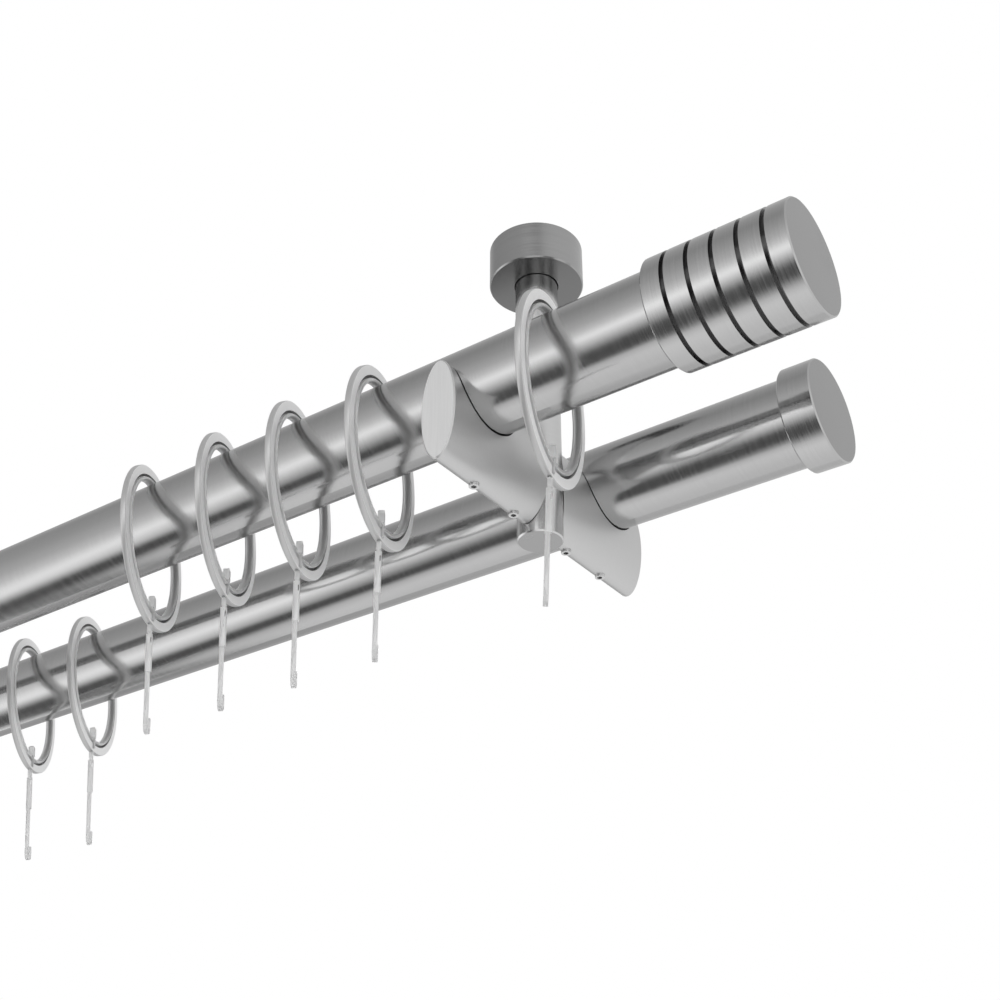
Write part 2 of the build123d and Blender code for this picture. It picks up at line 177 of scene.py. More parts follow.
@dataclass(frozen=True)
class BrushedSteel:
    """Stainless steel AISI 304, ground with a fine belt and left bare.

    The scratches spread each highlight across their own direction, so a tube brushed round its girth
    shows long soft bands along its length with a ragged, grainy edge.
    """

    name: str
    shade: str
    lay: Lay
    roughness: float
    spread: float
    grain_mm: float
    contrast: float
    bump: float
    faces: tuple[FaceShade, ...] = ()
    hollow: Hollow | None = None
    metallic: float = 1.0

    def tint_faces(
        self, tree: bpy.types.NodeTree, tone: bpy.types.NodeSocket
    ) -> bpy.types.NodeSocket:
        """Paints light or shade on the faces that point one way.

        Args:
            tree: The material's node tree.
            tone: The colour so far.

        Returns:
            The colour with each of those faces in its painted shade.
        """
        normal = add_node(tree, "ShaderNodeTexCoord").outputs["Normal"]
        for face in self.faces:
            along = add_node(
                tree,
                "ShaderNodeVectorMath",
                {"operation": "DOT_PRODUCT"},
                {0: normal, 1: face.direction},
            )
            share = add_node(
                tree,
                "ShaderNodeMapRange",
                inputs={
                    "Value": along.outputs["Value"],
                    "From Min": FACE_STARTS,
                    "From Max": FACE_FULL,
                },
            )
            gain = tuple(
                f / b for f, b in zip(linear(face.shade)[:3], linear(self.shade)[:3])
            ) + (1.0,)
            lit = add_node(
                tree,
                "ShaderNodeMix",
                {"data_type": "RGBA", "blend_type": "MULTIPLY", "clamp_result": False},
                {0: 1.0, 6: tone, 7: gain},
            )
            tone = add_node(
                tree,
                "ShaderNodeMix",
                {"data_type": "RGBA"},
                {0: share.outputs[0], 6: tone, 7: lit.outputs[2]},
            ).outputs[2]
        return tone

    def darken_hollow(
        self,
        tree: bpy.types.NodeTree,
        place: bpy.types.NodeSocket,
        tone: bpy.types.NodeSocket,
    ) -> bpy.types.NodeSocket:
        """Paints shade on the floors of the turned grooves.

        Args:
            tree: The material's node tree.
            place: Object coordinates.
            tone: The colour so far.

        Returns:
            The colour with painted shade in the grooves.
        """
        hollow = self.hollow
        if hollow is None:
            return tone
        centred = add_node(
            tree,
            "ShaderNodeVectorMath",
            {"operation": "SUBTRACT"},
            {0: place, 1: (hollow.middle_x * MM, hollow.axis_y * MM, hollow.axis_z * MM)},
        )
        parts = add_node(tree, "ShaderNodeSeparateXYZ", inputs={"Vector": centred.outputs[0]})
        flat = add_node(
            tree,
            "ShaderNodeCombineXYZ",
            inputs={"Y": parts.outputs["Y"], "Z": parts.outputs["Z"]},
        )
        radius = add_node(
            tree, "ShaderNodeVectorMath", {"operation": "LENGTH"}, {0: flat.outputs[0]}
        )
        deep = add_node(
            tree,
            "ShaderNodeMath",
            {"operation": "LESS_THAN"},
            {0: radius.outputs["Value"], 1: (hollow.floor_radius + GROOVE_REACH) * MM},
        )
        reach = add_node(tree, "ShaderNodeMath", {"operation": "ABSOLUTE"}, {0: parts.outputs["X"]})
        inside = add_node(
            tree,
            "ShaderNodeMath",
            {"operation": "LESS_THAN"},
            {0: reach.outputs[0], 1: hollow.reach_x * MM},
        )
        share = add_node(
            tree, "ShaderNodeMath", {"operation": "MULTIPLY"}, {0: deep.outputs[0], 1: inside.outputs[0]}
        )
        mixed = add_node(
            tree,
            "ShaderNodeMix",
            {"data_type": "RGBA"},
            {0: share.outputs[0], 6: tone, 7: linear(hollow.shade)},
        )
        return mixed.outputs[2]

    def build(self) -> bpy.types.Material:
        """Makes the steel.

        Returns:
            The material.
        """
        material, tree, output = new_material(self.name)
        place = add_node(tree, "ShaderNodeTexCoord").outputs["Object"]

        across = 1 / (self.grain_mm * MM)
        along = across / SCRATCH_LENGTH
        stretch = {
            Lay.ROUND_X: (across, along, along),
            Lay.ROUND_Z: (along, along, across),
            Lay.ACROSS_Z: (across, across, along),
            Lay.FINE: (across, across, across / 3),
        }[self.lay]
        scaled = add_node(tree, "ShaderNodeMapping", inputs={"Vector": place, "Scale": stretch})
        scratch = add_node(
            tree,
            "ShaderNodeTexNoise",
            inputs={"Vector": scaled.outputs[0], "Scale": 1.0, "Detail": 4.0, "Roughness": 0.62},
        ).outputs["Fac"]
        patch = add_node(
            tree,
            "ShaderNodeTexNoise",
            inputs={"Vector": place, "Scale": 1 / (PATCH_MM * MM), "Detail": 2.0},
        ).outputs["Fac"]

        base = linear(self.shade)
        dark = tuple(c * (1 - self.contrast) for c in base[:3]) + (1.0,)
        light = tuple(min(1.0, c * (1 + self.contrast)) for c in base[:3]) + (1.0,)
        tone = add_node(
            tree,
            "ShaderNodeMix",
            {"data_type": "RGBA"},
            {0: scratch, 6: dark, 7: light},
        ).outputs[2]
        # Painted light and shade: some faces get a lighter or darker shade, and groove floors a dark
        # one.
        tone = self.darken_hollow(tree, place, self.tint_faces(tree, tone))
        rough_fine = add_node(
            tree,
            "ShaderNodeMapRange",
            inputs={
                "Value": scratch,
                "From Min": 0.25,
                "From Max": 0.75,
                "To Min": self.roughness - self.spread,
                "To Max": self.roughness + self.spread,
            },
        )
        rough = add_node(
            tree,
            "ShaderNodeMath",
            {"operation": "MULTIPLY_ADD"},
            {0: patch, 1: PATCH_ROUGHNESS, 2: rough_fine.outputs[0]},
        )
        bump = add_node(
            tree,
            "ShaderNodeBump",
            inputs={"Height": scratch, "Strength": self.bump, "Distance": 0.02 * MM},
        )
        shader = add_node(
            tree,
            "ShaderNodeBsdfPrincipled",
            inputs={
                "Base Color": tone,
                "Metallic": self.metallic,
                "Roughness": rough.outputs[0],
                "Normal": bump.outputs[0],
            },
        )
        tree.links.new(shader.outputs[0], output.inputs["Surface"])
        return material


@dataclass(frozen=True)
class PlatedSteel:
    """Pressed steel with bright zinc plate: cold grey with faint cloudy spangle."""

    name: str = "zinc_plated_steel"
    shade: str = "A9ADB2"
    spangle_mm: float = 3.0

    def build(self) -> bpy.types.Material:
        """Makes the plate.

        Returns:
            The material.
        """
        material, tree, output = new_material(self.name)
        place = add_node(tree, "ShaderNodeTexCoord").outputs["Object"]
        cloud = add_node(
            tree,
            "ShaderNodeTexNoise",
            inputs={"Vector": place, "Scale": 1 / (self.spangle_mm * MM), "Detail": 3.0},
        ).outputs["Fac"]
        base = linear(self.shade)
        dark = tuple(c * 0.82 for c in base[:3]) + (1.0,)
        tone = add_node(tree, "ShaderNodeMix", {"data_type": "RGBA"}, {0: cloud, 6: dark, 7: base})
        rough = add_node(
            tree,
            "ShaderNodeMapRange",
            inputs={"Value": cloud, "To Min": 0.28, "To Max": 0.42},
        )
        shader = add_node(
            tree,
            "ShaderNodeBsdfPrincipled",
            inputs={
                "Base Color": tone.outputs[2],
                "Metallic": 1.0,
                "Roughness": rough.outputs[0],
            },
        )
        tree.links.new(shader.outputs[0], output.inputs["Surface"])
        return material


@dataclass(frozen=True)
class ClearPlastic:
    """Moulded translucent plastic, such as natural polypropylene or polycarbonate.

    Light passes through but scatters on the way, so a thin hook looks frosted and its edges are bright.
    Flow lines run along the strip.
    """

    name: str
    shade: str
    roughness: float
    transmission: float
    ior: float
    streak_mm: float
    contrast: float

    def build(self) -> bpy.types.Material:
        """Makes the plastic.

        Returns:
            The material.
        """
        material, tree, output = new_material(self.name)
        place = add_node(tree, "ShaderNodeTexCoord").outputs["Object"]
        across = 1 / (self.streak_mm * MM)
        scaled = add_node(
            tree,
            "ShaderNodeMapping",
            inputs={"Vector": place, "Scale": (across, across, across / FLOW_LENGTH)},
        )
        flow = add_node(
            tree,
            "ShaderNodeTexNoise",
            inputs={"Vector": scaled.outputs[0], "Scale": 1.0, "Detail": 3.0},
        ).outputs["Fac"]
        base = linear(self.shade)
        dark = tuple(c * (1 - self.contrast) for c in base[:3]) + (1.0,)
        tone = add_node(tree, "ShaderNodeMix", {"data_type": "RGBA"}, {0: flow, 6: dark, 7: base})
        rough = add_node(
            tree,
            "ShaderNodeMapRange",
            inputs={
                "Value": flow,
                "To Min": self.roughness * (1 - FLOW_ROUGHNESS),
                "To Max": self.roughness * (1 + FLOW_ROUGHNESS),
            },
        )
        bump = add_node(
            tree,
            "ShaderNodeBump",
            inputs={"Height": flow, "Strength": 0.25, "Distance": 0.1 * MM},
        )
        shader = add_node(
            tree,
            "ShaderNodeBsdfPrincipled",
            inputs={
                "Base Color": tone.outputs[2],
                "Roughness": rough.outputs[0],
                "IOR": self.ior,
                "Transmission Weight": self.transmission,
                "Normal": bump.outputs[0],
            },
        )
        tree.links.new(shader.outputs[0], output.inputs["Surface"])
        return material


@dataclass(frozen=True)
class NitrileRubber:
    """Black nitrile rubber: matt, with a fine moulded grain."""

    name: str = "nitrile_rubber"
    shade: str = "1E1E1F"
    grain_mm: float = 0.3

    def build(self) -> bpy.types.Material:
        """Makes the rubber.

        Returns:
            The material.
        """
        material, tree, output = new_material(self.name)
        place = add_node(tree, "ShaderNodeTexCoord").outputs["Object"]
        grain = add_node(
            tree,
            "ShaderNodeTexNoise",
            inputs={"Vector": place, "Scale": 1 / (self.grain_mm * MM), "Detail": 2.0},
        ).outputs["Fac"]
        base = linear(self.shade)
        pale = tuple(c * 1.5 for c in base[:3]) + (1.0,)
        tone = add_node(tree, "ShaderNodeMix", {"data_type": "RGBA"}, {0: grain, 6: base, 7: pale})
        rough = add_node(
            tree, "ShaderNodeMapRange", inputs={"Value": grain, "To Min": 0.6, "To Max": 0.8}
        )
        shader = add_node(
            tree,
            "ShaderNodeBsdfPrincipled",
            inputs={
                "Base Color": tone.outputs[2],
                "Roughness": rough.outputs[0],
                "IOR": 1.52,
            },
        )
        tree.links.new(shader.outputs[0], output.inputs["Surface"])
        return material


class Finish(Enum):
    """Every finish on the curtain pole."""

    # A fine belt run round the tube: long crisp bands, faintly grainy at their edges.
    TUBE = BrushedSteel(
        name="brushed_steel_tube",
        shade="B2B2B2",
        lay=Lay.ROUND_X,
        roughness=0.15,
        spread=0.07,
        grain_mm=0.32,
        contrast=0.09,
        bump=0.24,
    )
    # Turned and brushed on the lathe: the same lay, a little sharper; painted shade on ends and grooves.
    TURNED = BrushedSteel(
        name="turned_steel_finial",
        shade="B6B6B6",
        lay=Lay.ROUND_X,
        roughness=0.16,
        spread=0.09,
        grain_mm=0.35,
        contrast=0.11,
        bump=0.30,
        faces=(FaceShade((1.0, 0.0, 0.0), "909090"), FaceShade((-1.0, 0.0, 0.0), "909090")),
        hollow=Hollow(
            axis_y=-33.5,
            axis_z=-78.0,
            floor_radius=14.7,
            middle_x=-431.5,
            reach_x=538.2,
            shade="6C6C6C",
        ),
    )
    # Brushed by hand up and down the flanks: even, with hardly any reflection. Ends: painted highlight.
    ARM = BrushedSteel(
        name="satin_steel_arm",
        shade="CECECE",
        lay=Lay.ACROSS_Z,
        roughness=0.42,
        spread=0.05,
        grain_mm=0.32,
        contrast=0.07,
        bump=0.30,
        faces=(FaceShade((0.0, -1.0, 0.0), "F4F4F4"), FaceShade((0.0, 1.0, 0.0), "F4F4F4")),
    )
    # Turned and polished a little finer than the tubes, with painted shade on the underside.
    ROSE = BrushedSteel(
        name="brushed_steel_rose",
        shade="A4A4A4",
        lay=Lay.ROUND_Z,
        roughness=0.20,
        spread=0.06,
        grain_mm=0.45,
        contrast=0.10,
        bump=0.15,
        faces=(FaceShade((0.0, 0.0, -1.0), "7A7A7A"),),
    )
    # Turned and polished like the rose; painted light makes it brighter, painted shade darkens its foot.
    STEM = BrushedSteel(
        name="brushed_steel_stem",
        shade="CCCCCC",
        lay=Lay.ROUND_Z,
        roughness=0.22,
        spread=0.05,
        grain_mm=0.40,
        contrast=0.06,
        bump=0.08,
        faces=(FaceShade((0.0, 0.0, -1.0), "A8A8A8"),),
    )
    # Steel under a thick satin lacquer with silver pigment, with hardly any reflection.
    # Painted light makes the flat faces pale.
    RING_FACE = BrushedSteel(
        name="lacquered_steel_ring_face",
        shade="F6F6F6",
        lay=Lay.FINE,
        roughness=0.42,
        spread=0.03,
        grain_mm=0.30,
        contrast=0.02,
        bump=0.03,
        metallic=0.2,
    )
    # The lacquer is thinner on the rings' round sides, so they reflect more; painted shade makes them
    # darker.
    RING_EDGE = BrushedSteel(
        name="lacquered_steel_ring_edge",
        shade="C4C4C4",
        lay=Lay.FINE,
        roughness=0.30,
        spread=0.04,
        grain_mm=0.30,
        contrast=0.03,
        bump=0.05,
        metallic=0.5,
    )
    # Plain stainless screws: small bright points under the arms.
    SCREW = BrushedSteel(
        name="plain_stainless_screw",
        shade="D4D4D4",
        lay=Lay.FINE,
        roughness=0.25,
        spread=0.05,
        grain_mm=0.30,
        contrast=0.08,
        bump=0.10,
    )
    PLATE = PlatedSteel()
    # Polypropylene, milky and half clear with a frosted skin: pale, with brighter edges.
    HOOK = ClearPlastic(
        name="frosted_clear_plastic",
        shade="FAFAFA",
        roughness=0.30,
        transmission=0.55,
        ior=1.49,
        streak_mm=0.35,
        contrast=0.10,
    )
    # Pale translucent nylon that the ring slides on: it takes the grey of the metal around it.
    LINER = ClearPlastic(
        name="grey_translucent_plastic",
        shade="F4F4F4",
        roughness=0.32,
        transmission=0.70,
        ior=1.49,
        streak_mm=0.6,
        contrast=0.08,
    )
    # The bottom of the narrow groove between liner and metal: painted shade, a dark copy of the plastic.
    GROOVE = ClearPlastic(
        name="painted_shade_plastic_groove",
        shade="484848",
        roughness=0.55,
        transmission=0.0,
        ior=1.49,
        streak_mm=0.6,
        contrast=0.20,
    )
    RUBBER = NitrileRubber()


class Finishes:
    """Builds each finish once and hands it out."""

    def __init__(self) -> None:
        """Starts with nothing built."""
        self.built: dict[Finish, bpy.types.Material] = {}

    def get(self, finish: Finish) -> bpy.types.Material:
        """Gives the material of a finish.

        Args:
            finish: The finish.

        Returns:
            Its material, built on first use.
        """
        if finish not in self.built:
            self.built[finish] = finish.value.build()
        return self.built[finish]


@dataclass
class SubAssembly:
    """Some CAD nodes that belong together, with the finish of each."""

    nodes: dict[str, bpy.types.Object]
    finishes: Finishes

    def dress(self, name: str, finish: Finish) -> None:
        """Gives a CAD node its finish.

        Args:
            name: The node.
            finish: The finish for all of its faces.
        """
        piece = self.nodes[name]
        piece.data.materials.clear()
        piece.data.materials.append(self.finishes.get(finish))
        LOG.info("dressed %s as %s", name, finish.value.name)


@dataclass
class Poles(SubAssembly):
    """The two tubes with what plugs their ends."""

    def build(self) -> None:
        """Dresses tubes, finials and caps."""
        for row in ("front", "back"):
            self.dress(f"{row}_pole", Finish.TUBE)
        for side in ("right", "left"):
            self.dress(f"finial_{side}", Finish.TURNED)
            self.dress(f"end_cap_{side}", Finish.TURNED)


@dataclass
class Bracket(SubAssembly):
    """One ceiling bracket: plate, stem, rose and two arms."""

    side: str = "right"

    def build(self) -> None:
        """Dresses every piece of the bracket."""
        finish = {
            "ceiling_plate": Finish.PLATE,
            "stem": Finish.STEM,
            "stem_grub_screw": Finish.SCREW,
            "rose": Finish.ROSE,
            "rose_o_ring": Finish.RUBBER,
            "arm_front": Finish.ARM,
            "arm_back": Finish.ARM,
            "arm_stud": Finish.SCREW,
            "arm_grub_screws": Finish.SCREW,
        }
        for name, look in finish.items():
            self.dress(f"{name}_{self.side}", look)


def deselect_all() -> None:
    """Leaves nothing selected, so that an operator acts on the new piece alone."""
    for piece in bpy.context.selected_objects:
        piece.select_set(False)
    bpy.context.view_layer.objects.active = None


def select_faces(
    piece: bpy.types.Object, test: Callable[[bpy.types.MeshPolygon], bool]
) -> None:
    """Selects some faces of a piece in edit mode and nothing else.

    Args:
        piece: The piece.
        test: Says for a face whether it is wanted.
    """
    bpy.ops.mesh.select_mode(type="FACE")
    bpy.ops.mesh.select_all(action="DESELECT")
    bpy.ops.object.mode_set(mode="OBJECT")
    for face in piece.data.polygons:
        face.select = bool(test(face))
    bpy.ops.object.mode_set(mode="EDIT")


def select_edges(piece: bpy.types.Object, test: Callable[[float, float], bool]) -> None:
    """Selects some edges that run round the X axis, of a piece in edit mode.

    Args:
        piece: The piece.
        test: Says from a radius and a distance along X, in mm, whether an edge is wanted.
    """
    bpy.ops.mesh.select_mode(type="EDGE")
    bpy.ops.mesh.select_all(action="DESELECT")
    bpy.ops.object.mode_set(mode="OBJECT")
    points = piece.data.vertices
    for edge in piece.data.edges:
        a, b = (points[i].co / MM for i in edge.vertices)
        radius = (math.hypot(a.y, a.z) + math.hypot(b.y, b.z)) / 2
        level = abs(a.x - b.x) < 0.001 and abs(math.hypot(a.y, a.z) - math.hypot(b.y, b.z)) < 0.01
        edge.select = level and test(radius, abs(a.x))
    bpy.ops.object.mode_set(mode="EDIT")


@dataclass(frozen=True)
class Stretch:
    """One stretch of the hook, in mm: where it ends, and its width along X and depth along Y."""

    end: float
    back: float
    front: float
    depth: float


@dataclass
class RingShapes:
    """A curtain ring, its liner and its hook, modelled once about the X axis.

    Sizes are in mm. Heights are along Z from the middle of the ring, so they are negative below it.

    Attributes:
        finishes: The materials.
        outer_radius: Outer radius of the ring.
        inner_radius: Inner radius of the ring.
        thickness: The ring's thickness, along X.
        rim: Rounding of the ring's outer edges.
        liner_radius: Inner radius of the liner.
        liner_width: The liner's width, along X.
        lip: How thick the liner's lips are, along a radius.
        bead: Rounding of the lips.
        shoulder: Width of the liner where it meets the ring, along X.
        steps: Sides of each circle.
        fit: Gap between liner and ring.
        slot_width: Width of the slot for the hook's neck, along Y.
        slot_back: Where the slot begins, along X.
        slot_front: Where the slot ends behind the ring's front rim, along X.
        slot_top: Upper end of the slot.
        slot_foot: Lower end of the slot, past the ring.
        overlap: How far the slot's two boxes reach into each other.
        front_rim: Height of the ring's rim that stays in front of the slot.
        stretches: The hook, from its head down.
        strip_starts: Number of the first stretch that belongs to the strip, counted from 0.
        head_top: Top of the hook's head.
        head_round: Rounding of the head's top.
        curl_radius: Inner radius of the curl at the hook's end.
        curl_lip: Length of the straight end after the curl.
        curl_steps: Sides of the curl.
        eye: Back, front, lower and upper side of the eye in the strip.
        channel_rim: What is left beside the channel in the strip.
        channel_depth: Depth of the channel.
        edge_round: Rounding of the hook's edges.
        smooth_angle: Edges sharper than this stay crisp.
    """

    finishes: Finishes
    outer_radius: float = 28.5
    inner_radius: float = 25.4
    thickness: float = 2.0
    rim: float = 0.4
    liner_radius: float = 23.2
    liner_width: float = 2.8
    lip: float = 1.3
    bead: float = 0.45
    shoulder: float = 0.5
    steps: int = 144
    fit: float = 0.02
    slot_width: float = 1.6
    slot_back: float = -0.3
    slot_front: float = 0.75
    slot_top: float = -20.0
    slot_foot: float = -31.0
    overlap: float = 0.1
    front_rim: float = 1.0
    stretches: tuple[Stretch, ...] = (
        Stretch(-22.9, -0.3, 1.7, 2.4),
        Stretch(-27.3, -0.2, 1.6, 1.0),
        Stretch(-29.0, -0.05, 0.6, 0.74),
        Stretch(-31.6, -0.45, 0.95, 1.3),
        Stretch(-32.2, -0.25, 0.75, 1.0),
        Stretch(-45.6, -0.75, 1.2, 1.2),
        Stretch(-64.0, -0.6, 0.8, 0.94),
    )
    strip_starts: int = 5
    head_top: float = -18.6
    head_round: float = 0.5
    curl_radius: float = 1.2
    curl_lip: float = 3.6
    curl_steps: int = 8
    eye: tuple[float, float, float, float] = (0.55, 0.95, -35.4, -33.2)
    channel_rim: float = 0.35
    channel_depth: float = 0.25
    edge_round: float = 0.12
    smooth_angle: float = math.radians(40)

    def start(self, name: str) -> bpy.types.Object:
        """Names the new primitive and goes into its edit mode with nothing selected.

        Args:
            name: The piece's name.

        Returns:
            The piece.
        """
        piece = bpy.context.object
        piece.name = name
        bpy.ops.object.transform_apply(location=True, rotation=True, scale=True)
        bpy.ops.object.mode_set(mode="EDIT")
        bpy.ops.mesh.select_all(action="DESELECT")
        return piece

    def add_disc(self, name: str, radius: float, depth: float) -> bpy.types.Object:
        """Adds a disc about the X axis, with its two flat faces selected.

        Args:
            name: The piece's name.
            radius: The disc's radius in mm.
            depth: The disc's thickness in mm.

        Returns:
            The piece, in edit mode.
        """
        deselect_all()
        bpy.ops.mesh.primitive_cylinder_add(
            vertices=self.steps,
            radius=radius * MM,
            depth=depth * MM,
            rotation=(0, math.pi / 2, 0),
        )
        piece = self.start(name)
        select_faces(piece, lambda face: len(face.vertices) == self.steps)
        return piece

    def finish_shape(self, piece: bpy.types.Object, *finishes: Finish) -> None:
        """Cleans a piece's mesh, smooths its round faces and gives it its finishes.

        Args:
            piece: The piece, in edit mode.
            finishes: The finishes, of which the first goes on every face.
        """
        bpy.ops.mesh.select_all(action="SELECT")
        bpy.ops.mesh.remove_doubles(threshold=MERGE_MM * MM)
        bpy.ops.mesh.normals_make_consistent(inside=False)
        bpy.ops.object.mode_set(mode="OBJECT")
        bpy.ops.object.shade_smooth_by_angle(angle=self.smooth_angle)
        for finish in finishes:
            piece.data.materials.append(self.finishes.get(finish))

    def give_second_finish(
        self, piece: bpy.types.Object, test: Callable[[bpy.types.MeshPolygon], bool]
    ) -> None:
        """Puts the second of a piece's finishes on some of its faces.

        Args:
            piece: The piece, in object mode.
            test: Says for a face whether it gets the second finish.
        """
        bpy.ops.object.mode_set(mode="EDIT")
        select_faces(piece, test)
        piece.active_material_index = 1
        bpy.ops.object.material_slot_assign()
        bpy.ops.object.mode_set(mode="OBJECT")

    def cut(self, piece: bpy.types.Object, low: Vector, high: Vector) -> None:
        """Cuts a box out of a piece.

        Args:
            piece: The piece, in object mode.
            low: The box's lowest corner in mm.
            high: The box's highest corner in mm.
        """
        deselect_all()
        bpy.ops.mesh.primitive_cube_add(
            size=1.0, location=(low + high) * MM / 2, scale=(high - low) * MM
        )
        cutter = bpy.context.object
        deselect_all()
        piece.select_set(True)
        bpy.context.view_layer.objects.active = piece
        modifier = piece.modifiers.new("cut", "BOOLEAN")
        modifier.operation = "DIFFERENCE"
        modifier.solver = "EXACT"
        modifier.object = cutter
        bpy.ops.object.modifier_apply(modifier=modifier.name)
        bpy.data.objects.remove(cutter)

    def cut_slot(self, piece: bpy.types.Object) -> None:
        """Cuts the slot for the hook's neck: open to the front, and behind the rim below.

        Args:
            piece: The ring or the liner, in object mode.
        """
        side = self.slot_width / 2
        rim = -self.outer_radius + self.front_rim
        back = self.slot_back
        self.cut(
            piece,
            Vector((back, -side, rim)),
            Vector((self.liner_width, side, self.slot_top)),
        )
        self.cut(
            piece,
            Vector((back, -side, self.slot_foot)),
            Vector((self.slot_front, side, rim + self.overlap)),
        )

    def ring(self) -> bpy.types.Object:
        """Models the metal ring: a flat band with both outer edges rounded.

        Returns:
            The ring.
        """
        ring = self.add_disc("ring_shape", self.outer_radius, self.thickness)
        bpy.ops.mesh.inset(thickness=(self.outer_radius - self.inner_radius) * MM, depth=0.0)
        bpy.ops.mesh.bridge_edge_loops()
        select_edges(ring, lambda radius, x: radius > self.outer_radius - 0.05 and x > 0.1)
        bpy.ops.mesh.bevel(offset=self.rim * MM, segments=3, profile=0.5)
        self.finish_shape(ring, Finish.RING_EDGE, Finish.RING_FACE)
        self.cut_slot(ring)
        # The flat faces take the paler finish: painted light.
        self.give_second_finish(ring, lambda face: abs(face.normal.x) > 0.8)
        return ring

    def liner(self) -> bpy.types.Object:
        """Models the plastic liner: a beaded lip on each side, and a groove beside the metal.

        Returns:
            The liner.
        """
        radius = self.inner_radius - self.fit
        liner = self.add_disc("liner_shape", radius, self.shoulder)
        lip_radius = self.liner_radius + self.lip
        bpy.ops.mesh.inset(thickness=(radius - lip_radius) * MM, depth=0.0)
        proud = (self.liner_width - self.shoulder) / 2
        for side in (-1, 1):
            bpy.ops.mesh.select_all(action="DESELECT")
            select_faces(
                liner, lambda face: len(face.vertices) == self.steps and face.normal.x * side > 0.5
            )
            bpy.ops.mesh.extrude_region_move(
                TRANSFORM_OT_translate={"value": (side * proud * MM, 0, 0)}
            )
        select_faces(liner, lambda face: len(face.vertices) == self.steps)
        bpy.ops.mesh.inset(thickness=self.lip * MM, depth=0.0)
        bpy.ops.mesh.bridge_edge_loops()
        select_edges(liner, lambda radius, x: x > self.liner_width / 2 - 0.05)
        bpy.ops.mesh.bevel(offset=self.bead * MM, segments=3, profile=0.5)
        self.finish_shape(liner, Finish.LINER, Finish.GROOVE)
        self.cut_slot(liner)
        # The groove's floor takes the dark second finish: painted shade.
        floor = self.shoulder / 2 + 0.05
        self.give_second_finish(
            liner, lambda face: abs(face.normal.x) > 0.8 and abs(face.center.x) < floor * MM
        )
        return liner

    def hook(self) -> bpy.types.Object:
        """Models the hook: a head, a neck behind the ring's rim, a strip and a curl at its end.

        Returns:
            The hook.
        """
        first = self.stretches[0]
        middle = (first.back + first.front) / 2
        high = self.head_top
        deselect_all()
        bpy.ops.mesh.primitive_cube_add(
            size=1.0,
            location=(middle * MM, 0, (high + first.end) * MM / 2),
            scale=((first.front - first.back) * MM, first.depth * MM, (high - first.end) * MM),
        )
        hook = self.start("hook_shape")
        select_faces(hook, lambda face: face.normal.z > 0.9)
        bpy.ops.mesh.bevel(offset=self.head_round * MM, segments=2, profile=0.5)
        bpy.ops.mesh.select_all(action="DESELECT")
        select_faces(hook, lambda face: face.normal.z < -0.9)
        above = first
        for stretch in self.stretches[1:]:
            self.grow(above, stretch)
            above = stretch

        # The end turns back and up in a small curl.
        bpy.ops.mesh.spin(
            steps=self.curl_steps,
            angle=-math.pi,
            center=(0, (self.curl_radius + above.depth / 2) * MM, above.end * MM),
            axis=(1, 0, 0),
        )
        bpy.ops.mesh.extrude_region_move(
            TRANSFORM_OT_translate={"value": (0, 0, self.curl_lip * MM)}
        )

        # A shallow channel runs down the strip's front and back.
        bpy.ops.mesh.select_all(action="DESELECT")
        top, low = self.stretches[self.strip_starts - 1].end, above.end
        select_faces(
            hook,
            lambda face: abs(face.normal.y) > 0.9 and low < face.center.z / MM < top,
        )
        bpy.ops.mesh.inset(
            thickness=self.channel_rim * MM, depth=-self.channel_depth * MM, use_individual=True
        )
        self.finish_shape(hook, Finish.HOOK)
        back, front, floor, roof = self.eye
        self.cut(
            hook, Vector((back, -first.depth, floor)), Vector((front, first.depth, roof))
        )
        soften = hook.modifiers.new("soften", "BEVEL")
        soften.width = self.edge_round * MM
        soften.segments = 2
        soften.limit_method = "ANGLE"
        soften.angle_limit = self.smooth_angle
        bpy.ops.object.modifier_apply(modifier=soften.name)
        bpy.ops.object.shade_smooth_by_angle(angle=self.smooth_angle)
        return hook

    def grow(self, above: Stretch, below: Stretch) -> None:
        """Extrudes the selected face down by one stretch, with a step to its width and depth.

        Args:
            above: The stretch that ends at the selected face.
            below: The new stretch.
        """
        old_middle = (above.back + above.front) / 2
        new_middle = (below.back + below.front) / 2
        bpy.ops.mesh.extrude_region_move(TRANSFORM_OT_translate={"value": (0, 0, 0)})
        bpy.ops.transform.resize(
            value=(
                (below.front - below.back) / (above.front - above.back),
                below.depth / above.depth,
                1,
            ),
            center_override=(old_middle * MM, 0, above.end * MM),
        )
        bpy.ops.transform.translate(value=((new_middle - old_middle) * MM, 0, 0))
        bpy.ops.mesh.extrude_region_move(
            TRANSFORM_OT_translate={"value": (0, 0, (below.end - above.end) * MM)}
        )


# Each kind of ring piece, with the finish of its plain node and the name of its slot.
KINDS: dict[str, tuple[Finish, str]] = {
    "ring": (Finish.RING_EDGE, "ring_steel"),
    "ring_liner": (Finish.LINER, "liner_plastic"),
    "curtain_hook": (Finish.HOOK, "hook_plastic"),
}


